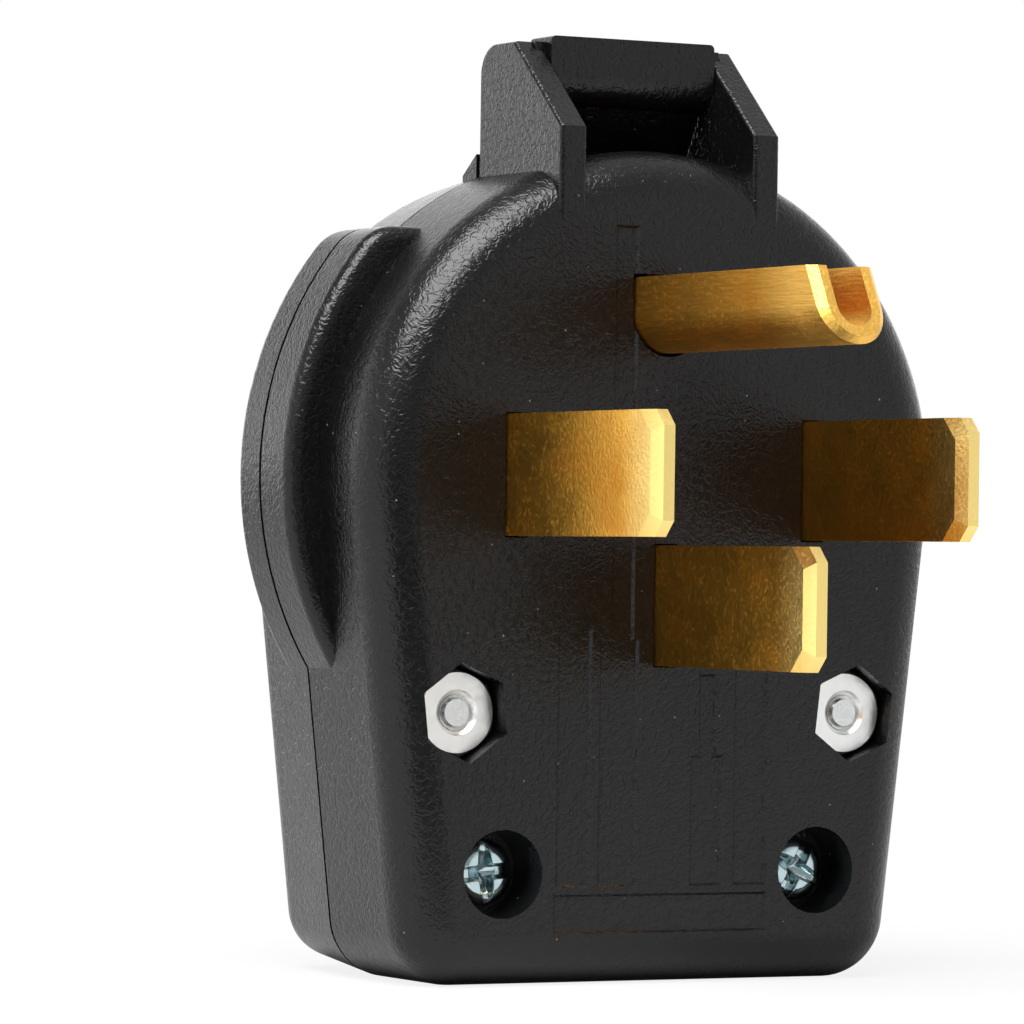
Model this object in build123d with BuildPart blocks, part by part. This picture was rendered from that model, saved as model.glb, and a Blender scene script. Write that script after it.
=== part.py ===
from build123d import *
import os
from math import cos, radians, sin, tan

# Four-prong angle plug, in millimetres. The origin is the centre of the mating face, level with
# the two hot blades: +X is right, +Z is up towards the cable, and the prongs point along -Y.

# Housing outline: a round head, sides that taper down to a flat base
face_radius = 32.8
side_taper = 6.5
base_drop = 50.3
base_corner_radius = 6.5

# Front body and rear cover
parting_depth = 17.5
face_wall = 5.0
face_edge_radius = 5.0
shell_wall = 3.0
cover_depth = 15.5
cover_draft = 6.0
cover_edge_radius = 4.5
cover_wall = 2.8
seam_width = 0.45
seam_depth = 0.8

# Grip wings, a round flange that stands out across the parting line
wing_radius = 36.4
wing_front = 6.2
wing_rear = 5.8
wing_top = 24.7
wing_edge_radius = 1.4
wing_corner_radius = 5.0

# Cable cheeks, the two upright walls at the top
cheek_gap = 19.1
cheek_thickness = 2.95
cheek_front_height = 34.6
cheek_top = 43.6
cheek_slope_depth = 10.1
cheek_corner_radius = 3.0
cheek_edge_radius = 0.4
cheek_root = 22.0
rim_thickness = 6.0
buttress_height = 33.0
buttress_depth = 3.4
buttress_foot = 30.6

# Cord passage and the clamp bar that slides down between the cheeks
cord_radius = 7.3
collar_bottom = 25.5
collar_top = 28.5
collar_wall = 1.8
bar_front = 8.0
bar_thickness = 4.5
bar_bottom = 37.4
bar_top = 44.2
bar_roll_radius = 3.0
bar_corner_radius = 0.5
bar_clearance = 0.15
tongue_thickness = 2.0
tongue_depth = 1.2
skirt_bottom = 31.8
skirt_thickness = 1.5
skirt_lean = radians(30)

# Brass prongs
hot_spacing = 33.8
neutral_drop = 12.7
blade_width = 12.0
blade_thickness = 2.3
blade_length = 30.0
blade_corner = 1.5
bevel_length = 1.6
bevel_depth = 0.55
shoulder_width = 15.0
shoulder_length = 2.5
plate_end = 27.0
plate_hole_radius = 2.3
plate_hole_inset = 3.4
slot_clearance = 0.15

# Ground prong, a channel that opens upward
ground_bottom = 12.4
ground_height = 7.5
ground_width = 7.2
ground_wall = 1.75
ground_length = 37.0
ground_nose_slope = 4.0
ground_nose_bevel = 0.8
ground_channel_end = 8.0
ground_hole_clearance = 0.35

# Saddle clamps and terminal screws on the four terminal plates
clamp_depth = 16.0
clamp_sheet = 1.1
clamp_lift = 3.0
clamp_reach = 5.4
clamp_bend = 2.6
lip_radius = 2.2
ear_length = 5.0
ear_drop = 1.0
ear_slot = 1.0
terminal_radius = 1.7
terminal_head_radius = 3.0
terminal_head_height = 2.2
terminal_tail = 2.0

# Hex nuts and the bolts that draw the cover to the body
bolt_spacing = 44.4
bolt_drop = 23.4
bolt_radius = 1.75
bolt_head_radius = 3.4
bolt_head_height = 2.4
bolt_head_recess = 1.0
bolt_tip_chamfer = 0.4
nut_radius = 4.58
nut_thickness = 3.0
nut_recess = 2.0
nut_chamfer = 0.5
nut_corner_slope = radians(50)
nut_pocket_clearance = 0.4
bolt_boss_radius = 6.4

# Cover screws in the lower counterbores
screw_spacing = 35.7
screw_drop = 39.2
screw_radius = 1.75
screw_head_radius = 3.25
screw_head_height = 2.3
screw_head_recess = 3.6
counterbore_radius = 4.37
screw_boss_radius = 6.0
screw_end = 28.0

# Drive recesses and fits
slot_width = 1.1
slot_depth = 0.9
cross_width = 1.3
cross_depth = 1.2
cross_span = 5.2
terminal_slot_turn = radians(55)
screw_slot_turn = radians(-5)
fit_gap = 0.02
hole_clearance = 0.25

# Strip gauge, shallow bands sunk in the face: (left, right, bottom, top)
gauge_depth = 0.3
gauge_wall_slope = 40
gauge_half_width = 12.2
gauge_bottom = -45.2
gauge_line = -41.3
gauge_foot = -40.6
gauge_bands = [
    (-gauge_half_width, gauge_half_width, gauge_bottom, gauge_line),
    (-12.0, -8.2, gauge_foot, -15.0),
    (-7.3, -2.9, gauge_foot, -16.0),
    (-6.1, -3.5, -16.0, 25.0),
    (3.2, 6.9, gauge_foot, -27.6),
    (4.1, 6.1, -27.6, -19.5),
    (8.2, 12.0, gauge_foot, -15.0),
]

# Places that several pieces share
taper = radians(side_taper)
cover_end = parting_depth + cover_depth
bar_width = cheek_gap - 2 * bar_clearance
bar_back = bar_front + bar_thickness
tongue_bottom = bar_bottom + bar_roll_radius
skirt_run = (bar_bottom - skirt_bottom) * tan(skirt_lean)
cord_depth = bar_back + skirt_run + cord_radius
cheek_sides = (cheek_gap / 2, -cheek_gap / 2 - cheek_thickness)
blade_places = {
    "hot_blade_left": (-hot_spacing / 2, 0.0),
    "hot_blade_right": (hot_spacing / 2, 0.0),
    "neutral_blade": (0.0, -neutral_drop),
}
bolt_places = {"left": (-bolt_spacing / 2, -bolt_drop), "right": (bolt_spacing / 2, -bolt_drop)}
screw_places = {"left": (-screw_spacing / 2, -screw_drop), "right": (screw_spacing / 2, -screw_drop)}
nut_turn = {"left": side_taper, "right": -side_taper}
ground_plate_x = -(ground_width - ground_wall) / 2
ground_plate_z = ground_bottom + ground_height / 2

# Each terminal: x of the plate face under the clamp, the way it faces, its height, the plate's thickness
half_blade = blade_thickness / 2
terminals = {
    "hot_left": (-hot_spacing / 2 - half_blade, -1, 0.0, blade_thickness),
    "hot_right": (hot_spacing / 2 + half_blade, 1, 0.0, blade_thickness),
    "neutral": (half_blade, 1, -neutral_drop, blade_thickness),
    "ground": (-ground_width / 2, -1, ground_plate_z, ground_wall),
}


def front_plane(depth):
    """Plane parallel to the mating face, seen from the front, at a depth behind it."""
    return Plane(origin=(0, depth, 0), x_dir=(1, 0, 0), z_dir=(0, -1, 0))


def back_plane(depth):
    """Plane parallel to the mating face, facing the rear, at a depth behind it."""
    return Plane(origin=(0, depth, 0), x_dir=(-1, 0, 0), z_dir=(0, 1, 0))


def axis_plane(x, z):
    """Plane through an axis that runs along Y: first coordinate radial, second along Y."""
    return Plane(origin=(x, 0, z), x_dir=(1, 0, 0), z_dir=(0, 0, 1))


def depth_axis(x, z):
    """Axis along Y through a place on the face."""
    return Axis((x, 0, z), (0, 1, 0))


def housing_outline(sketch, inset):
    """Draw the housing outline, moved inwards by an inset, into a sketch."""
    radius = face_radius - inset
    base = inset - base_drop
    foot = (radius + base * sin(taper)) / cos(taper)
    shoulder = (radius * cos(taper), -radius * sin(taper))
    mirrored = (-shoulder[0], shoulder[1])
    with BuildLine() as border:
        ThreePointArc(mirrored, (0, radius), shoulder)
        Polyline(shoulder, (foot, base), (-foot, base), mirrored)
    make_face(border.edges())
    fillet(sketch.vertices().group_by(Axis.Y)[0], base_corner_radius - inset)


def wing_outline(sketch, inset):
    """Draw the wing flange, moved inwards by an inset: a disc cut off level, with rounded top corners."""
    Circle(wing_radius - inset)
    with Locations((0, wing_top - inset)):
        Rectangle(4 * wing_radius, 2 * wing_radius, align=(Align.CENTER, Align.MIN), mode=Mode.SUBTRACT)
    fillet(sketch.vertices().group_by(Axis.Y)[-1], wing_corner_radius)


def channel_section(margin):
    """Draw the outer section of the ground channel, grown by a margin all round."""
    half = ground_width / 2
    with Locations((0, ground_bottom + half)):
        Circle(half + margin)
        Rectangle(
            ground_width + 2 * margin,
            ground_height - half + margin,
            align=(Align.CENTER, Align.MIN),
        )


def drive_recess(plane, length, width, depth):
    """Cut a screwdriver slot across a head that ends on a plane."""
    with BuildSketch(plane) as slot:
        Rectangle(length, width)
    extrude(slot.sketch, amount=-depth, mode=Mode.SUBTRACT)


def save(part, label):
    """Label a finished piece and write it to its own file."""
    part.label = label
    export_step(part, f"parts/{label}.step")


os.makedirs("parts", exist_ok=True)

# Front body: moulded face, wings, cheeks, bosses and prong slots
with BuildPart() as front_body:
    with BuildSketch(front_plane(parting_depth - wing_front)) as wings:
        wing_outline(wings, 0)
    extrude(amount=-wing_front)
    fillet(front_body.faces().sort_by(Axis.Y)[0].edges(), wing_edge_radius)

    with BuildSketch(front_plane(0)) as face:
        housing_outline(face, 0)
    extrude(amount=-parting_depth)
    fillet(front_body.faces().sort_by(Axis.Y)[0].edges(), face_edge_radius)

    for side in cheek_sides:
        with BuildPart() as cheek_wall:
            with BuildSketch(Plane.YZ.offset(side)) as cheek:
                with BuildLine():
                    Polyline(
                        (0, cheek_root),
                        (0, cheek_front_height),
                        (cheek_slope_depth, cheek_top),
                        (parting_depth, cheek_top),
                        (parting_depth, cheek_root),
                        close=True,
                    )
                make_face()
                rear_top = cheek.vertices().group_by(Axis.Y)[-1].sort_by(Axis.X)[-1]
                fillet(rear_top, cheek_corner_radius)
            extrude(amount=cheek_thickness)
            broad = cheek_wall.faces().filter_by(Axis.X)
            fillet(broad.edges().filter_by(lambda edge: edge.center().Z > cheek_root), cheek_edge_radius)
        add(cheek_wall.part)

    # Inner hollow, leaving a boss round each bolt and each cover screw
    with BuildSketch(front_plane(face_wall)) as hollow:
        housing_outline(hollow, shell_wall)
        with Locations(*bolt_places.values()):
            Circle(bolt_boss_radius, mode=Mode.SUBTRACT)
        with Locations(*screw_places.values()):
            Circle(screw_boss_radius, mode=Mode.SUBTRACT)
    extrude(amount=face_wall - parting_depth, mode=Mode.SUBTRACT)

    # Cable hollow behind the rim, open at the top between the cheeks
    with Locations((0, rim_thickness, cheek_root)):
        Box(
            cheek_gap,
            parting_depth - rim_thickness,
            cheek_top,
            align=(Align.CENTER, Align.MIN, Align.MIN),
            mode=Mode.SUBTRACT,
        )
    # Upright grooves that take the tongues of the clamp bar
    with Locations((0, bar_front + bar_thickness / 2, tongue_bottom - fit_gap)):
        Box(
            cheek_gap + 2 * tongue_depth,
            tongue_thickness + 2 * bar_clearance,
            cheek_top,
            align=(Align.CENTER, Align.CENTER, Align.MIN),
            mode=Mode.SUBTRACT,
        )

    # Slots for the three blades and the hole for the ground channel
    with BuildSketch(front_plane(0)):
        with Locations(*blade_places.values()):
            Rectangle(blade_thickness + 2 * slot_clearance, blade_width + 2 * slot_clearance)
        channel_section(ground_hole_clearance)
    extrude(amount=-face_wall, mode=Mode.SUBTRACT)

    # Nut pockets, turned to follow the tapered sides, and bolt holes
    for side, place in bolt_places.items():
        with BuildSketch(front_plane(0)):
            with Locations(place):
                RegularPolygon(nut_radius + nut_pocket_clearance, 6, rotation=90 + nut_turn[side])
        extrude(amount=-nut_recess - nut_thickness, mode=Mode.SUBTRACT)
    with BuildSketch(front_plane(0)):
        with Locations(*bolt_places.values()):
            Circle(bolt_radius + hole_clearance)
    extrude(amount=-parting_depth, mode=Mode.SUBTRACT)

    # Counterbores and clearance holes of the cover screws
    with BuildSketch(front_plane(0)):
        with Locations(*screw_places.values()):
            Circle(counterbore_radius)
    extrude(amount=-screw_head_recess - screw_head_height, mode=Mode.SUBTRACT)
    with BuildSketch(front_plane(0)):
        with Locations(*screw_places.values()):
            Circle(screw_radius + hole_clearance)
    extrude(amount=-parting_depth, mode=Mode.SUBTRACT)

    # Strip gauge bands
    with BuildSketch(front_plane(0)):
        for left, right, bottom, top in gauge_bands:
            with Locations(((left + right) / 2, (bottom + top) / 2)):
                Rectangle(right - left, top - bottom)
    extrude(amount=-gauge_depth, taper=gauge_wall_slope, mode=Mode.SUBTRACT)
save(front_body.part, "front_body")

# Narrow groove round the rear cover, the seam between the two halves; the base stays flat
with BuildPart() as seam:
    with BuildSketch(back_plane(parting_depth)):
        with Locations((0, seam_depth - base_drop)):
            Rectangle(4 * wing_radius, 4 * wing_radius, align=(Align.CENTER, Align.MIN))
    extrude(amount=seam_width)
    with BuildSketch(back_plane(parting_depth)) as core:
        housing_outline(core, seam_depth)
    extrude(amount=seam_width, mode=Mode.SUBTRACT)
    with BuildSketch(back_plane(parting_depth)) as core:
        wing_outline(core, seam_depth)
    extrude(amount=seam_width, mode=Mode.SUBTRACT)

# Rear cover: drafted shell with the rear of the wings, bosses, prong stops and cord notch
with BuildPart() as rear_cover:
    with BuildSketch(back_plane(parting_depth)) as wings:
        wing_outline(wings, 0)
    extrude(amount=wing_rear)
    fillet(rear_cover.faces().sort_by(Axis.Y)[-1].edges(), wing_edge_radius)

    with BuildSketch(back_plane(parting_depth)) as rear:
        housing_outline(rear, 0)
    extrude(amount=cover_depth, taper=cover_draft)
    fillet(rear_cover.faces().sort_by(Axis.Y)[-1].edges(), cover_edge_radius)

    for side in cheek_sides:
        with BuildSketch(Plane.YZ.offset(side)):
            with BuildLine():
                Polyline(
                    (parting_depth, cheek_root),
                    (parting_depth, buttress_height),
                    (parting_depth + buttress_depth, buttress_foot),
                    (parting_depth + buttress_depth, cheek_root),
                    close=True,
                )
            make_face()
        extrude(amount=cheek_thickness)
    add(seam.part, mode=Mode.SUBTRACT)

    with BuildSketch(back_plane(parting_depth)) as hollow:
        housing_outline(hollow, shell_wall)
    extrude(amount=cover_depth - cover_wall, taper=cover_draft, mode=Mode.SUBTRACT)

    with BuildSketch(back_plane(parting_depth)):
        with Locations(*bolt_places.values()):
            Circle(bolt_boss_radius)
        with Locations(*screw_places.values()):
            Circle(screw_boss_radius)
    extrude(amount=cover_depth - cover_wall)

    # Stops that bear on the ends of the four terminal plates
    with BuildSketch(back_plane(plate_end + fit_gap)):
        for x, z in [*blade_places.values(), (ground_plate_x, ground_plate_z)]:
            with Locations((-x, z)):
                Rectangle(2 * blade_thickness, blade_width / 2)
    extrude(amount=cover_end - cover_wall / 2 - plate_end)

    # Collar and half-round notch that the cord passes through
    with BuildSketch(Plane.XY.offset(collar_bottom)):
        with Locations((0, cord_depth)):
            Circle(cord_radius + collar_wall)
        with Locations((0, parting_depth)):
            Rectangle(4 * cord_radius, 4 * cord_radius, align=(Align.CENTER, Align.MAX), mode=Mode.SUBTRACT)
    extrude(amount=collar_top - collar_bottom)
    with BuildSketch(Plane.XY.offset(collar_bottom)):
        with Locations((0, cord_depth)):
            Circle(cord_radius)
    extrude(amount=cheek_top, mode=Mode.SUBTRACT)

    # Bolt holes with sunk heads, and pilot holes for the cover screws
    with BuildSketch(back_plane(parting_depth)):
        with Locations(*bolt_places.values()):
            Circle(bolt_radius + hole_clearance)
    extrude(amount=cover_depth, mode=Mode.SUBTRACT)
    with BuildSketch(back_plane(cover_end)):
        with Locations(*bolt_places.values()):
            Circle(bolt_head_radius + hole_clearance)
    extrude(amount=-bolt_head_recess - bolt_head_height, mode=Mode.SUBTRACT)
    with BuildSketch(back_plane(parting_depth)):
        with Locations(*screw_places.values()):
            Circle(screw_radius + fit_gap)
    extrude(amount=screw_end + fit_gap - parting_depth, mode=Mode.SUBTRACT)
save(rear_cover.part, "rear_cover")

# Cord clamp: a bar with a rolled lower edge, side tongues, a round saddle behind and a leaning skirt
with BuildPart() as cord_clamp:
    with BuildSketch(front_plane(bar_front)) as bar:
        with Locations((0, bar_bottom)):
            Rectangle(bar_width, bar_top - bar_bottom, align=(Align.CENTER, Align.MIN))
        fillet(bar.vertices().group_by(Axis.Y)[-1], bar_corner_radius)
    extrude(amount=-bar_thickness)
    front_low = cord_clamp.edges().filter_by(Axis.X).group_by(Axis.Z)[0].sort_by(Axis.Y)[0]
    fillet(front_low, bar_roll_radius)
    with Locations((0, bar_front + bar_thickness / 2, tongue_bottom)):
        Box(
            bar_width + 2 * tongue_depth,
            tongue_thickness,
            cheek_top - tongue_bottom,
            align=(Align.CENTER, Align.CENTER, Align.MIN),
        )
    with Locations((0, bar_back, bar_bottom)):
        Box(
            bar_width,
            parting_depth - bar_back - fit_gap,
            bar_top - bar_bottom - bar_corner_radius,
            align=(Align.CENTER, Align.MIN, Align.MIN),
        )
    with BuildSketch(Plane.XY.offset(bar_bottom)):
        with Locations((0, cord_depth)):
            Circle(cord_radius)
    extrude(amount=bar_top, mode=Mode.SUBTRACT)
    skirt_back = bar_back + skirt_run
    with BuildSketch(Plane.YZ):
        with BuildLine():
            Polyline(
                (bar_back - skirt_thickness, bar_bottom + bar_corner_radius),
                (bar_back, bar_bottom + bar_corner_radius),
                (bar_back, bar_bottom),
                (skirt_back, skirt_bottom),
                (skirt_back - skirt_thickness, skirt_bottom),
                (bar_back - skirt_thickness, bar_bottom),
                close=True,
            )
        make_face()
    extrude(amount=bar_width / 2, both=True)
save(cord_clamp.part, "cord_clamp")

# Flat blades: bevelled tip, shoulders behind the face wall, terminal plate with two holes
for label, (x, z) in blade_places.items():
    with BuildPart() as blade:
        with BuildSketch(Plane.YZ.offset(x - half_blade)) as strip:
            with Locations((-blade_length, z)):
                Rectangle(blade_length + plate_end, blade_width, align=(Align.MIN, Align.CENTER))
            chamfer(strip.vertices().group_by(Axis.X)[0], blade_corner)
            with Locations((face_wall + fit_gap, z)):
                Rectangle(shoulder_length, shoulder_width, align=(Align.MIN, Align.CENTER))
        extrude(amount=blade_thickness)
        for broad in (blade.faces().sort_by(Axis.X)[0], blade.faces().sort_by(Axis.X)[-1]):
            tip_edges = broad.edges().filter_by(lambda edge: edge.center().Y < blade_corner - blade_length)
            chamfer(tip_edges, length=bevel_length, length2=bevel_depth, reference=broad)
        with BuildSketch(Plane.YZ.offset(x - half_blade)):
            with Locations((clamp_depth, z)):
                Circle(terminal_radius + fit_gap)
            with Locations((plate_end - plate_hole_inset, z)):
                Circle(plate_hole_radius)
        extrude(amount=blade_thickness, mode=Mode.SUBTRACT)
    save(blade.part, label)

# Ground prong: a channel whose left leg runs on as the terminal plate
with BuildPart() as ground_prong:
    with BuildSketch(front_plane(ground_channel_end)):
        channel_section(0)
    extrude(amount=ground_channel_end + ground_length)
    with BuildSketch(Plane.YZ.offset(-ground_width / 2)):
        with BuildLine():
            Polyline(
                (-ground_length, ground_bottom),
                (ground_nose_slope - ground_length, ground_bottom + ground_height),
                (-ground_length, ground_bottom + ground_height),
                close=True,
            )
        make_face()
    extrude(amount=ground_width, mode=Mode.SUBTRACT)
    nose = ground_prong.faces().sort_by(Axis.Y)[0]
    chamfer(nose.edges().group_by(Axis.Z)[:-1], ground_nose_bevel)
    with BuildSketch(front_plane(ground_channel_end)):
        inner = ground_width / 2 - ground_wall
        with Locations((0, ground_bottom + ground_width / 2)):
            Circle(inner)
            Rectangle(2 * inner, ground_height, align=(Align.CENTER, Align.MIN))
    extrude(amount=ground_channel_end + ground_length, mode=Mode.SUBTRACT)
    with BuildSketch(Plane.YZ.offset(-ground_width / 2)):
        with Locations((face_wall + fit_gap, ground_plate_z)):
            Rectangle(shoulder_length, shoulder_width, align=(Align.MIN, Align.CENTER))
            Rectangle(plate_end - face_wall - fit_gap, blade_width, align=(Align.MIN, Align.CENTER))
        with Locations((clamp_depth, ground_plate_z)):
            Circle(terminal_radius + fit_gap, mode=Mode.SUBTRACT)
        with Locations((plate_end - plate_hole_inset, ground_plate_z)):
            Circle(plate_hole_radius, mode=Mode.SUBTRACT)
    extrude(amount=ground_wall)
save(ground_prong.part, "ground_prong")

# Saddle clamps and their screws, one pair for each terminal plate
for label, (x, outward, z, plate) in terminals.items():
    seat = Plane(origin=(x, clamp_depth, z), x_dir=(0, 1, 0), z_dir=(0, 0, -outward))
    clamp_width = blade_width + 2 * bar_clearance + 2 * clamp_sheet
    web_top = clamp_lift + clamp_sheet
    with BuildPart() as saddle:
        with BuildSketch(seat):
            bend_low = clamp_lift - lip_radius
            outer = lip_radius + clamp_sheet
            with BuildLine():
                Line((clamp_reach, clamp_lift), (-clamp_bend, clamp_lift))
                CenterArc((-clamp_bend, bend_low), lip_radius, 90, 90)
                Line((-clamp_bend - lip_radius, bend_low), (-clamp_bend - lip_radius, fit_gap))
                Line((-clamp_bend - lip_radius, fit_gap), (-clamp_bend - outer, fit_gap))
                Line((-clamp_bend - outer, fit_gap), (-clamp_bend - outer, bend_low))
                CenterArc((-clamp_bend, bend_low), outer, 90, 90)
                Line((-clamp_bend, web_top), (clamp_reach, web_top))
                Line((clamp_reach, web_top), (clamp_reach, clamp_lift))
            make_face()
        extrude(amount=clamp_width / 2, both=True)
        for end in (1, -1):
            ear_plane = seat.offset(end * clamp_width / 2)
            with BuildSketch(ear_plane):
                with Locations((0, -ear_drop)):
                    Rectangle(ear_length, web_top + ear_drop, align=(Align.CENTER, Align.MIN))
                with Locations((0, clamp_lift / 2)):
                    Rectangle(ear_length / 2, ear_slot, mode=Mode.SUBTRACT)
            extrude(amount=-end * clamp_sheet)
        with BuildSketch(Plane(origin=(x, clamp_depth, z), x_dir=(0, 1, 0), z_dir=(outward, 0, 0))):
            Circle(terminal_radius + hole_clearance)
        extrude(amount=web_top, mode=Mode.SUBTRACT)
    save(saddle.part, f"{label}_clamp")

    head_seat = web_top + fit_gap
    head_top = head_seat + terminal_head_height
    with BuildPart() as terminal_screw:
        with BuildSketch(Plane(origin=(x, clamp_depth, z), x_dir=(outward, 0, 0), z_dir=(0, 0, 1))) as half:
            with BuildLine():
                Polyline(
                    (-plate - terminal_tail, 0),
                    (-plate - terminal_tail, terminal_radius),
                    (head_seat, terminal_radius),
                    (head_seat, terminal_head_radius),
                    (head_top, terminal_head_radius),
                    (head_top, 0),
                    close=True,
                )
            make_face()
        revolve(axis=Axis((x, clamp_depth, z), (1, 0, 0)))
        rim = terminal_screw.edges().filter_by(GeomType.CIRCLE).sort_by(Axis.X)
        chamfer(rim[-1] if outward > 0 else rim[0], slot_depth / 2)
        slot_run = (0, cos(terminal_slot_turn), sin(terminal_slot_turn))
        head_centre = (x + outward * head_top, clamp_depth, z)
        head_plane = Plane(origin=head_centre, x_dir=slot_run, z_dir=(outward, 0, 0))
        drive_recess(head_plane, 2 * terminal_head_radius, slot_width, slot_depth)
    save(terminal_screw.part, f"{label}_screw")

# Assembly bolts from the rear, and the hex nuts in the pockets of the face
nut_front = nut_recess
nut_back = nut_recess + nut_thickness - fit_gap
for side, (x, z) in bolt_places.items():
    bolt_seat = cover_end - bolt_head_recess - bolt_head_height + fit_gap
    bolt_head_end = bolt_seat + bolt_head_height
    with BuildPart() as bolt:
        with BuildSketch(axis_plane(x, z)):
            with BuildLine():
                Polyline(
                    (0, nut_front),
                    (bolt_radius - bolt_tip_chamfer, nut_front),
                    (bolt_radius, nut_front + bolt_tip_chamfer),
                    (bolt_radius, bolt_seat),
                    (bolt_head_radius, bolt_seat),
                    (bolt_head_radius, bolt_head_end),
                    (0, bolt_head_end),
                    close=True,
                )
            make_face()
        revolve(axis=depth_axis(x, z))
        rear_head = Plane(origin=(x, bolt_head_end, z), x_dir=(1, 0, 0), z_dir=(0, 1, 0))
        drive_recess(rear_head, 2 * bolt_head_radius, slot_width, slot_depth)
    save(bolt.part, f"assembly_bolt_{side}")

    with BuildPart() as nut:
        with BuildSketch(front_plane(nut_front)):
            with Locations((x, z)):
                RegularPolygon(nut_radius, 6, rotation=90 + nut_turn[side])
                Circle(bolt_radius + fit_gap, mode=Mode.SUBTRACT)
        extrude(amount=nut_front - nut_back)
        with BuildSketch(axis_plane(x, z)):
            flat = nut_radius * cos(radians(30))
            slope = (nut_radius - flat) * tan(nut_corner_slope)
            with BuildLine():
                Polyline(
                    (0, nut_front),
                    (flat, nut_front),
                    (nut_radius, nut_front + slope),
                    (nut_radius, nut_back),
                    (0, nut_back),
                    close=True,
                )
            make_face()
        revolve(axis=depth_axis(x, z), mode=Mode.INTERSECT)
        mouth = nut.edges().filter_by(GeomType.CIRCLE).sort_by(SortBy.RADIUS)[:2].sort_by(Axis.Y)[0]
        chamfer(mouth, nut_chamfer)
    save(nut.part, f"hex_nut_{side}")

# Cover screws from the front into the bosses of the rear cover
for side, (x, z) in screw_places.items():
    head_front = screw_head_recess
    head_back = screw_head_recess + screw_head_height - fit_gap
    with BuildPart() as screw:
        with BuildSketch(axis_plane(x, z)):
            with BuildLine():
                Polyline(
                    (0, head_front),
                    (screw_head_radius, head_front),
                    (screw_head_radius, head_back),
                    (screw_radius, head_back),
                    (screw_radius, screw_end),
                    (0, screw_end),
                    close=True,
                )
            make_face()
        revolve(axis=depth_axis(x, z))
        rim = screw.edges().filter_by(GeomType.CIRCLE).sort_by(Axis.Y)[0]
        fillet(rim, screw_head_height / 2)
        slot_run = (cos(screw_slot_turn), 0, sin(screw_slot_turn))
        head_plane = Plane(origin=(x, head_front, z), x_dir=slot_run, z_dir=(0, -1, 0))
        drive_recess(head_plane, 2 * screw_head_radius, cross_width, cross_depth)
        drive_recess(head_plane.rotated((0, 0, 90)), cross_span, cross_width, cross_depth)
    save(screw.part, f"cover_screw_{side}")
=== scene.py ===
# %% [markdown]
# # A four-prong angle plug
# A moulded black plug for a 50 A outlet: two nylon halves held by nuts and screws, three flat brass
# blades, one U-shaped ground prong, and two cheeks at the top that guide the cord. The shapes come
# from the CAD frame, which is loaded first and never moved. This file adds the finishes, the
# cross-slotted screws, the light and the camera.

# %% Load the frame and keep its box
import bpy
import numpy as np
from mathutils import Matrix, Vector


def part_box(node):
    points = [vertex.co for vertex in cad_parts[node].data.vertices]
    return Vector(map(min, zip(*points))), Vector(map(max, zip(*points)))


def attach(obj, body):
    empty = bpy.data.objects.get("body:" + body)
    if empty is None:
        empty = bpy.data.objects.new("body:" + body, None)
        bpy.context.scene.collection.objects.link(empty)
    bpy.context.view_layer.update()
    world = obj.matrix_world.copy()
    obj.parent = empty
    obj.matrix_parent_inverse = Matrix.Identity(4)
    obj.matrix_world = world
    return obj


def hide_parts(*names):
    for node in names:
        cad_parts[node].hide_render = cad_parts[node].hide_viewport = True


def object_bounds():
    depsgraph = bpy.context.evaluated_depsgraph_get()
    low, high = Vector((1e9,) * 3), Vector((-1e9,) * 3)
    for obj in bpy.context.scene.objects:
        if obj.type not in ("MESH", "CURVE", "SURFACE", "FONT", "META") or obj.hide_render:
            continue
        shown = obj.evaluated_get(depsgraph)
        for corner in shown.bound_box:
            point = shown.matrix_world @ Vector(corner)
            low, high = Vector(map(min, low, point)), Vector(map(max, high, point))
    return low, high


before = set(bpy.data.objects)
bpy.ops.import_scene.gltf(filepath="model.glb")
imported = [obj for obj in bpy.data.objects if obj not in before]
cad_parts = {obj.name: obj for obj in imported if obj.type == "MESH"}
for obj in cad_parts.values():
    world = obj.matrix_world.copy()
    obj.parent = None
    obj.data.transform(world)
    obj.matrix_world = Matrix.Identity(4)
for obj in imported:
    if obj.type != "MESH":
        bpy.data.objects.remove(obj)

MM = 0.001
cad_low, cad_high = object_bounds()
print("CAD box in mm:", [round(size / MM, 1) for size in cad_high - cad_low])

# %% [markdown]
# ## Helpers for colours, nodes and finishes
# Colours are written as sRGB hex, the way a paint chart gives them, and the shader wants linear
# light, so one function turns one into the other. A second one adds a node, sets it and wires it, so
# that every finish reads as a recipe. A third one starts an empty finish.

# %% Helpers
def linear(hex_colour):
    """sRGB hex to linear RGBA: below 0.04045 divide by 12.92, above it a 2.4 power curve."""
    codes = np.array([int(hex_colour[i:i + 2], 16) for i in (1, 3, 5)]) / 255.0
    values = np.where(codes <= 0.04045, codes / 12.92, ((codes + 0.055) / 1.055) ** 2.4)
    return (*values.tolist(), 1.0)


def add_node(tree, kind, inputs=(), **settings):
    """Add one node, set its own properties from the settings, and fill its inputs.

    Inputs come in the order of the sockets, or in a dict by the socket's name or number. Each is a
    value, an output of another node, or a node, which stands for its first output.
    """
    node = tree.nodes.new(kind)
    for name, value in settings.items():
        setattr(node, name, value)
    pairs = inputs.items() if isinstance(inputs, dict) else enumerate(inputs)
    for socket, value in pairs:
        if isinstance(value, bpy.types.Node):
            value = value.outputs[0]
        if isinstance(value, bpy.types.NodeSocket):
            tree.links.new(value, node.inputs[socket])
        else:
            node.inputs[socket].default_value = value
    return node


def new_finish(name):
    """An empty node material, its tree and the piece's own coordinates in metres."""
    finish = bpy.data.materials.new(name)
    finish.use_nodes = True
    tree = finish.node_tree
    tree.nodes.clear()
    place = add_node(tree, "ShaderNodeTexCoord").outputs["Object"]
    return finish, tree, place


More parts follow.
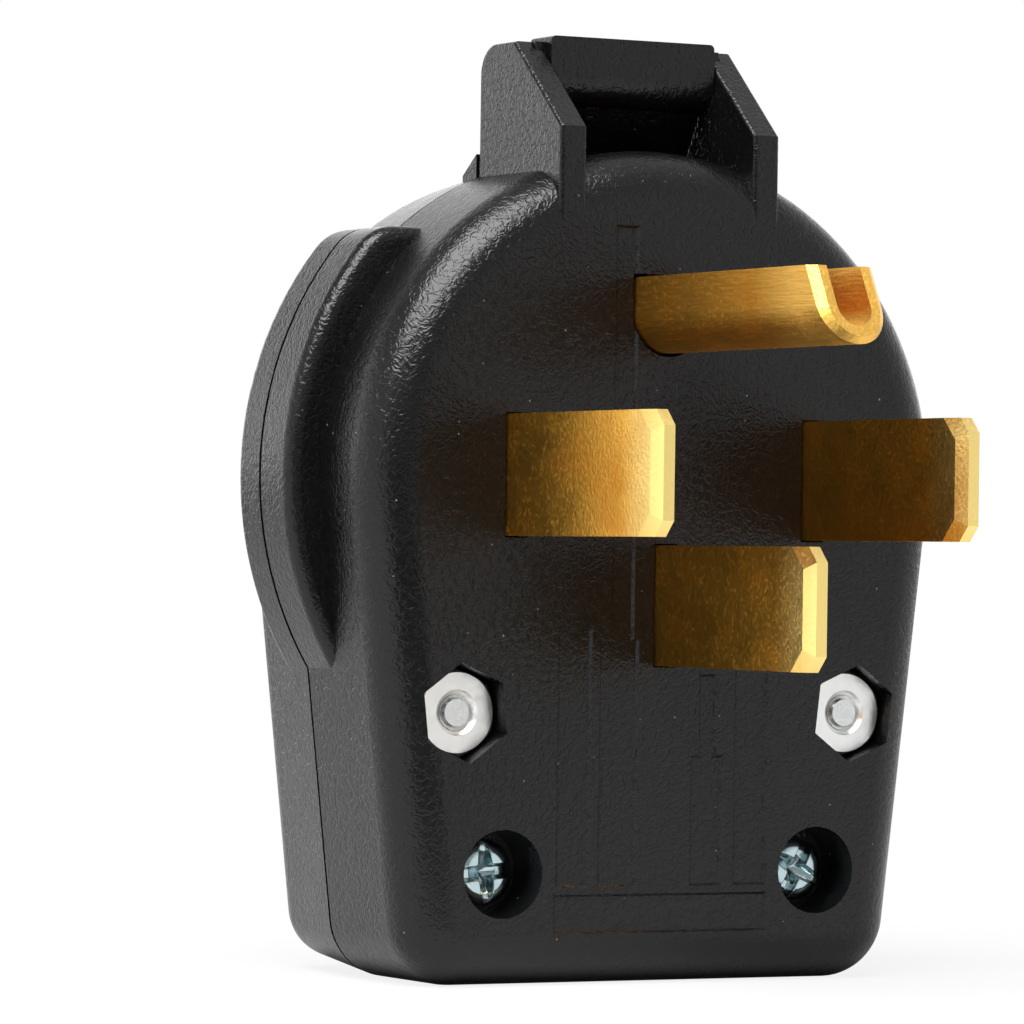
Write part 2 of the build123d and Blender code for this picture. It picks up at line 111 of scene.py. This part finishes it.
print("mid grey in linear light:", round(linear("#808080")[0], 3))

# %% [markdown]
# ## Camera
# The photograph was taken from the left of the front and almost level with the middle of the plug,
# with a long lens. The place and the turn were worked out from the corners of the prongs and the
# rims of the screw holes. A long lens keeps the picture's lines nearly parallel.

# %% Camera at the photograph's angle
turn, tilt, roll = np.radians([28.203, -0.483, -0.819])
view_distance = 573.1 * MM
lens_pixels = 5841.8
picture_pixels = 1024
aim = np.array([-17.453, 0.0, -3.657]) * MM
backward = np.array([-np.sin(turn) * np.cos(tilt), -np.cos(turn) * np.cos(tilt), np.sin(tilt)])
level = np.array([np.cos(turn), -np.sin(turn), 0.0])
upright = np.cross(backward, level)
across = np.cos(roll) * level - np.sin(roll) * upright
upward = np.sin(roll) * level + np.cos(roll) * upright
camera_data = bpy.data.cameras.new("camera")
camera_data.sensor_width = 36.0
camera_data.lens = lens_pixels / picture_pixels * camera_data.sensor_width
camera_data.clip_start = 0.01
camera_data.clip_end = 20.0
camera = bpy.data.objects.new("camera", camera_data)
bpy.context.scene.collection.objects.link(camera)
columns = np.column_stack([across, upward, backward, aim + backward * view_distance])
camera.matrix_world = Matrix(np.vstack([columns, [0, 0, 0, 1]]).tolist())
bpy.context.scene.camera = camera
bpy.context.scene.view_settings.view_transform = "Standard"
print("lens in mm:", round(camera_data.lens, 1))

# %% [markdown]
# ## Black moulded nylon
# The housing is nylon from a spark-eroded mould: the mould's pitted skin leaves a fine leathery
# grain, which shows most where light grazes it. The colour is a flat near-black and nearly all of
# its look is reflection, so the grain goes into the bump, as short ridges where a noise crosses its
# middle value. Real grain is finer than this. It is drawn at 0.75 mm so that it shows in the picture.
# Handling leaves a few pale specks of dust.

# %% Nylon finish
def moulded_nylon(name):
    """Near-black nylon with worm-like ridges, a slow change of sheen and sparse dust.

    A ridge is 1 where a noise has its middle value 0.5 and falls to 0 at 0.16 on either side. Dust
    is a dot round the middle of some cells, and a cell's random number gives the dot's size.
    """
    finish, tree, place = new_finish(name)
    noise = add_node(tree, "ShaderNodeTexNoise",
                     {"Vector": place, "Scale": 1 / (0.75 * MM), "Detail": 1.5, "Distortion": 0.7})
    centred = add_node(tree, "ShaderNodeMath", (noise, 0.5), operation="SUBTRACT")
    fold = add_node(tree, "ShaderNodeMath", (centred,), operation="ABSOLUTE")
    ridges = add_node(tree, "ShaderNodeMapRange", (fold, 0.0, 0.16, 1.0, 0.0))
    bump = add_node(tree, "ShaderNodeBump", {"Height": ridges, "Strength": 0.8, "Distance": 0.036 * MM})
    sheen = add_node(tree, "ShaderNodeTexNoise", {"Vector": place, "Scale": 1 / (7 * MM), "Detail": 3.0})
    gloss = add_node(tree, "ShaderNodeMapRange", (sheen, 0.3, 0.7, 0.21, 0.28))
    cells = add_node(tree, "ShaderNodeTexVoronoi", {"Vector": place, "Scale": 1 / (1.3 * MM)})
    chance = add_node(tree, "ShaderNodeSeparateXYZ", (cells.outputs["Color"],))
    dot_size = add_node(tree, "ShaderNodeMapRange", (chance, 0.6, 1.0, 0.0, 0.09))
    inside = add_node(tree, "ShaderNodeMath", (dot_size, cells.outputs["Distance"]), operation="SUBTRACT")
    dust = add_node(tree, "ShaderNodeMapRange", (inside, 0.0, 0.03, 0.0, 1.0))
    colour = add_node(tree, "ShaderNodeMix", {0: dust, 6: linear("#0b0b0c"), 7: linear("#6f6d69")},
                      data_type="RGBA")
    shader = add_node(tree, "ShaderNodeBsdfPrincipled",
                      {"Base Color": colour.outputs[2], "Roughness": gloss, "IOR": 1.4, "Normal": bump})
    add_node(tree, "ShaderNodeOutputMaterial", (shader,))
    return finish


nylon = moulded_nylon("moulded_nylon_black")
for name in ("front_body", "rear_cover", "cord_clamp"):
    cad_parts[name].material_slots[0].material = nylon
print("nylon on the two halves and the cord clamp")

# %% [markdown]
# ## Stamped brass
# The prongs are cut from rolled brass strip, so the broad faces are bright but not mirror-like:
# rolling leaves a pebbled skin of tiny dents, and air turns it brown in soft patches. Towards the
# tips the colour is painted a paler gold: a painted highlight for the bright reflection the tips
# catch. What the eye sees as dark brown is mostly the black housing mirrored in the metal, broken up
# by the dents. The dents are drawn coarser than real ones, at 0.4 mm, so that they show in the picture.

# %% Brass finish
def rolled_brass(name, streak, depth, roughness, colours):
    """Brass with a golden reflection, brown patches 4 mm wide, dents, faint dull specks and a painted
    highlight: a paler gold towards the tips.

    A streak above 1 stretches the dents that many times along the prong, into drawn lines. The depth
    is the dents'. The roughness is that of clean metal: a full patch adds 0.08 and a speck 0.13. The
    colours are those of a patch, of clean metal and of the painted highlight at the tip.
    """
    brown, gold, tip = [linear(colour) for colour in colours]
    finish, tree, place = new_finish(name)
    patches = add_node(tree, "ShaderNodeTexNoise", {"Vector": place, "Scale": 1 / (4 * MM), "Detail": 4.0})
    clean = add_node(tree, "ShaderNodeMapRange", (patches, 0.3, 0.65, 0.0, 1.0))
    stretched = add_node(tree, "ShaderNodeVectorMath", (place, (1.0, 1 / streak, 1.0)), operation="MULTIPLY")
    dents = add_node(tree, "ShaderNodeTexNoise",
                     {"Vector": stretched, "Scale": 1 / (0.4 * MM), "Detail": 2.0})
    bump = add_node(tree, "ShaderNodeBump", {"Height": dents, "Strength": 0.8, "Distance": depth})
    specks = add_node(tree, "ShaderNodeTexNoise", {"Vector": place, "Scale": 1 / (0.35 * MM), "Detail": 1.0})
    dullness = add_node(tree, "ShaderNodeMapRange", (specks, 0.5, 0.8, 0.0, 0.13))
    polish = add_node(tree, "ShaderNodeMapRange", (clean, 0.0, 1.0, roughness + 0.08, roughness))
    gloss = add_node(tree, "ShaderNodeMath", (polish, dullness), operation="ADD")
    along = add_node(tree, "ShaderNodeSeparateXYZ", (place,)).outputs["Y"]
    # Paler colour towards the tips: a painted highlight for the bright reflection there.
    painted_tip_highlight = add_node(tree, "ShaderNodeMapRange", (along, -23 * MM, -30 * MM, 0.0, 1.0))
    aged = add_node(tree, "ShaderNodeMix", {0: clean, 6: brown, 7: gold}, data_type="RGBA")
    colour = add_node(tree, "ShaderNodeMix", {0: painted_tip_highlight, 6: aged.outputs[2], 7: tip}, data_type="RGBA")
    shader = add_node(tree, "ShaderNodeBsdfPrincipled",
                      {"Base Color": colour.outputs[2], "Metallic": 1.0, "Roughness": gloss, "Normal": bump})
    add_node(tree, "ShaderNodeOutputMaterial", (shader,))
    return finish


# The third colour in each set is the paler tip colour, a painted highlight.
blade_brass = rolled_brass("stamped_rolled_brass", 1.0, 0.04 * MM, 0.28,
                           ("#dc9733", "#f4b646", "#ffe38e"))
channel_brass = rolled_brass("drawn_channel_brass", 10.0, 0.07 * MM, 0.38,
                             ("#c98a30", "#e0a544", "#f0bd5c"))
for name in ("hot_blade_left", "hot_blade_right", "neutral_blade"):
    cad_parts[name].material_slots[0].material = blade_brass
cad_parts["ground_prong"].material_slots[0].material = channel_brass
print("brass on four prongs")

# %% [markdown]
# ## Zinc-plated steel
# Nuts, bolts, screws and saddle clamps are steel with a thin zinc plating, bright and faintly
# clouded. The nuts look nearly white because their flat faces mirror the studio, and the screws look
# dark and bluish because they sit deep in black holes and have a bluish passivation.

# %% Zinc finish
def plated_zinc(name, tint, roughness):
    """Bright zinc over steel: even tint, clouds of about a millimetre in the roughness and the bump."""
    finish, tree, place = new_finish(name)
    clouds = add_node(tree, "ShaderNodeTexNoise", {"Vector": place, "Scale": 1 / (0.9 * MM), "Detail": 3.0})
    bump = add_node(tree, "ShaderNodeBump", {"Height": clouds, "Strength": 0.6, "Distance": 0.05 * MM})
    gloss = add_node(tree, "ShaderNodeMapRange", (clouds, 0.3, 0.7, roughness - 0.06, roughness + 0.06))
    shader = add_node(tree, "ShaderNodeBsdfPrincipled",
                      {"Base Color": linear(tint), "Metallic": 1.0, "Roughness": gloss, "Normal": bump})
    add_node(tree, "ShaderNodeOutputMaterial", (shader,))
    return finish


nut_zinc = plated_zinc("barrel_plated_zinc", "#f2f2f0", 0.34)
bolt_zinc = plated_zinc("rack_plated_zinc", "#dadcdb", 0.28)
screw_zinc = plated_zinc("blue_passivated_zinc", "#b6cace", 0.16)
for name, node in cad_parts.items():
    if name.startswith("hex_nut"):
        node.material_slots[0].material = nut_zinc
    elif name.startswith("assembly_bolt"):
        node.material_slots[0].material = bolt_zinc
    elif node.material_slots[0].material.name.startswith("zinc"):
        node.material_slots[0].material = screw_zinc
print("zinc on nuts, bolts, screws and saddle clamps")

# %% [markdown]
# ## Cross-slotted screws
# The two cover screws have pan heads that take a flat or a cross-headed driver. A cold-heading punch
# presses the recess, so its walls slope and its edges are soft. A head is easiest to make as a
# height over a disc: rings and spokes give each point a distance and an angle from the middle, the
# height starts as the rounded top of the pan, and the deeper of the slot and the cross is taken
# away. The same rings then run on down the rim and along the shank, so each screw is one surface.

# %% Depth of the drive recess
def soft_step(value, start, end):
    """0 before start, 1 after end, and between them the smooth curve 3t squared minus 2t cubed."""
    share = np.clip((value - start) / (end - start), 0, 1)
    return share * share * (3 - 2 * share)


def recess_depth(along, beside, radius):
    """Depth of the drive recess in millimetres at distances along and beside the slot's line.

    The slot is a trench with sloped walls. Each wing of the cross is a trench that narrows and gets
    shallower away from the middle, down to nothing near the rim. The deepest one counts.
    """
    slot = 1.0 - soft_step(np.abs(beside), 0.42, 0.78)
    wing_depth = 1.9 * np.clip(1 - radius / 3.1, 0, 1)
    wing_half = 0.85 - 0.13 * radius
    wings = [wing_depth * (1 - soft_step(np.abs(off), wing_half - 0.3, wing_half + 0.12))
             for off in (along, beside)]
    return np.maximum.reduce([slot, *wings])


print("recess at the middle in mm:", float(recess_depth(0.0, 0.0, 0.0)))

# %% Screw surface
def cross_slotted_screw(name, node, slot_turn):
    """A screw as one surface of rings and spokes, from the middle of its head to the end of its shank.

    On the head, ring distances run from 0 to the rim and the depth is the pan's rounding, which
    grows with the square of the distance past its flat, plus the drive recess. Past the rim each
    ring keeps one depth: rim, underside, shank and end.
    """
    low, high = (np.array(corner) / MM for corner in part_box(node))
    centre_x, centre_z = (low[0] + high[0]) / 2, (low[2] + high[2]) / 2
    rim = (high[0] - low[0]) / 2
    length = high[1] - low[1]
    flat, rim_drop, head_height, shank = 0.6 * rim, 0.9, 2.26, 1.75
    spokes = np.linspace(0, 2 * np.pi, 160, endpoint=False)
    head = np.linspace(0, rim, 56)[:, None] * np.ones_like(spokes)
    along = head * np.cos(spokes - slot_turn)
    beside = head * np.sin(spokes - slot_turn)
    rounding = rim_drop * np.clip((head - flat) / (rim - flat), 0, 1) ** 2
    depth = np.minimum(rounding + recess_depth(along, beside, head), head_height - 0.2)
    tail_radius = np.array([rim, shank, shank, 0.0])[:, None] * np.ones_like(spokes)
    tail_depth = np.array([head_height, head_height, length, length])[:, None] * np.ones_like(spokes)
    radius = np.vstack([head, tail_radius])
    points = np.stack([centre_x + radius * np.cos(spokes),
                       low[1] + np.vstack([depth, tail_depth]),
                       centre_z + radius * np.sin(spokes)], axis=-1).reshape(-1, 3) * MM
    ring, spoke = np.meshgrid(np.arange(len(radius) - 1), np.arange(spokes.size), indexing="ij")
    beyond = (spoke + 1) % spokes.size
    here, below = ring * spokes.size, (ring + 1) * spokes.size
    quads = np.stack([here + spoke, here + beyond, below + beyond, below + spoke], axis=-1).reshape(-1, 4)
    mesh = bpy.data.meshes.new(name)
    mesh.from_pydata(points.tolist(), [], quads.tolist())
    mesh.polygons.foreach_set("use_smooth", np.ones(len(mesh.polygons), dtype=bool))
    mesh.materials.append(screw_zinc)
    screw = bpy.data.objects.new(name, mesh)
    bpy.context.scene.collection.objects.link(screw)
    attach(screw, "root")
    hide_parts(node)
    return screw


# %% Two screws, their slots turned as in the photograph
for side, slot_degrees in (("left", 5.0), ("right", 62.0)):
    screw = cross_slotted_screw(f"cross_screw_{side}", f"cover_screw_{side}", np.radians(slot_degrees))
    print(screw.name, len(screw.data.polygons), "faces")

# %% [markdown]
# ## Studio: floor, white surround and a soft box
# The plug stands on a pale floor in a white studio. Black nylon and brass show mostly what they
# mirror. So the surround that mirrored rays meet has a bright wall behind and at the left, a dark
# room at the front left, a darker gap in the ceiling and a top that fades. The camera itself sees
# plain white. Far from the plug the floor turns as white as the wall, so that no line shows between
# them. In the dark room's sector the floor is dim too, but only for mirrored rays: otherwise the
# blades would throw its light back on the mating face.

# %% Floor
dark_room_side = (-0.34, -0.94, 0.0)
room_edge_start, room_edge_end = 0.80, 0.87
floor_gap = 0.02 * MM
floor_level = float(cad_low.z) - floor_gap
plug_foot = (0.0, 20 * MM, floor_level)
reach = 4.0
corners = [(-reach, -reach, floor_level), (reach, -reach, floor_level),
           (reach, reach, floor_level), (-reach, reach, floor_level)]
floor_mesh = bpy.data.meshes.new("floor")
floor_mesh.from_pydata(corners, [], [(0, 1, 2, 3)])
floor = bpy.data.objects.new("floor", floor_mesh)
bpy.context.scene.collection.objects.link(floor)
print("floor at mm", round(floor_level / MM, 2))

# %% Floor finish
paper, tree, place = new_finish("white_studio_paper")
ray = add_node(tree, "ShaderNodeLightPath")
outwards = add_node(tree, "ShaderNodeVectorMath", (place, (1.0, 1.0, 0.0)), operation="MULTIPLY")
bearing = add_node(tree, "ShaderNodeVectorMath", (outwards,), operation="NORMALIZE")
facing = add_node(tree, "ShaderNodeVectorMath", (bearing, dark_room_side), operation="DOT_PRODUCT")
away = add_node(tree, "ShaderNodeVectorMath", (place, plug_foot), operation="DISTANCE")
sector = add_node(tree, "ShaderNodeMapRange",
                  (facing.outputs["Value"], room_edge_start, room_edge_end, 0.0, 1.0))
past_plug = add_node(tree, "ShaderNodeMapRange", (away.outputs["Value"], 70 * MM, 140 * MM, 0.0, 1.0))
dim_place = add_node(tree, "ShaderNodeMath", (sector, past_plug), operation="MULTIPLY")
dimness = add_node(tree, "ShaderNodeMath", (dim_place, ray.outputs["Is Glossy Ray"]), operation="MULTIPLY")
shade = add_node(tree, "ShaderNodeMix", {0: dimness, 6: linear("#c8c8c8"), 7: linear("#3a3a3a")},
                 data_type="RGBA")
lit = add_node(tree, "ShaderNodeBsdfDiffuse", (shade.outputs[2],))
bright = add_node(tree, "ShaderNodeEmission", ((1, 1, 1, 1), 1.0))
whiteness = add_node(tree, "ShaderNodeMapRange", (away.outputs["Value"], 60 * MM, 300 * MM, 0.86, 1.0))
share = add_node(tree, "ShaderNodeMath", (ray.outputs["Is Camera Ray"], whiteness), operation="MULTIPLY")
mixed = add_node(tree, "ShaderNodeMixShader", (share, lit, bright))
add_node(tree, "ShaderNodeOutputMaterial", (mixed,))
floor_mesh.materials.append(paper)
print("floor finish:", paper.name)

# %% Walls of the surround
world = bpy.data.worlds.new("studio")
world.use_nodes = True
bpy.context.scene.world = world
sky = world.node_tree
sky.nodes.clear()
heading = add_node(sky, "ShaderNodeTexCoord").outputs["Generated"]


def brightness_towards(direction, low, high, start, end):
    """Brightness by a ray's cosine with a direction: start below low, end above high, straight between."""
    cosine = add_node(sky, "ShaderNodeVectorMath", (heading, direction), operation="DOT_PRODUCT")
    return add_node(sky, "ShaderNodeMapRange", (cosine.outputs["Value"], low, high, start, end))


all_round = brightness_towards((0.0, 1.0, 0.0), -0.9, -0.2, 0.9, 1.2)
rear_wall = brightness_towards((0.35, 0.94, 0.0), 0.66, 0.85, 1.0, 1.65)
left_wall = brightness_towards((-0.8, 0.6, 0.0), 0.75, 0.95, 1.0, 1.5)
fading_top = brightness_towards((0.0, 0.0, 1.0), 0.08, 0.45, 1.0, 0.6)
ceiling_gap = brightness_towards((-0.34, 0.47, 0.81), 0.82, 0.95, 1.0, 0.3)
surround_parts = [all_round, rear_wall, left_wall, fading_top, ceiling_gap]
print("parts of the surround:", len(surround_parts))

# %% Dark room and the whole surround
flattened = add_node(sky, "ShaderNodeVectorMath", (heading, (1.0, 1.0, 0.4)), operation="MULTIPLY")
level_heading = add_node(sky, "ShaderNodeVectorMath", (flattened,), operation="NORMALIZE")
facing = add_node(sky, "ShaderNodeVectorMath", (level_heading, dark_room_side), operation="DOT_PRODUCT")
surround = add_node(sky, "ShaderNodeMapRange",
                    (facing.outputs["Value"], room_edge_start, room_edge_end, 1.0, 0.06))
for part in surround_parts:
    surround = add_node(sky, "ShaderNodeMath", (surround, part), operation="MULTIPLY")
ray = add_node(sky, "ShaderNodeLightPath")
mirrored = add_node(sky, "ShaderNodeMath", (ray.outputs["Is Glossy Ray"], ray.outputs["Is Transmission Ray"]),
                    operation="MAXIMUM")
reflected = add_node(sky, "ShaderNodeMath", (mirrored, surround), operation="MULTIPLY")
seen = add_node(sky, "ShaderNodeMath", (reflected, ray.outputs["Is Camera Ray"]), operation="MAXIMUM")
even_light = 0.4
strength = add_node(sky, "ShaderNodeMath", (seen, even_light), operation="MAXIMUM")
glow = add_node(sky, "ShaderNodeBackground", ((1, 1, 1, 1), strength))
add_node(sky, "ShaderNodeOutputWorld", (glow,))
print("even light from the surround:", even_light)

# %% Soft box above and to the left
box_place = Vector((-0.47, -0.40, 1.03))
lamp = bpy.data.lights.new("left_box", "AREA")
lamp.size = 0.95
lamp.energy = 34.0
soft_box = bpy.data.objects.new("left_box", lamp)
bpy.context.scene.collection.objects.link(soft_box)
soft_box.location = box_place
soft_box.rotation_euler = (-box_place).to_track_quat("-Z", "Y").to_euler()
print("soft box of", lamp.energy, "W")
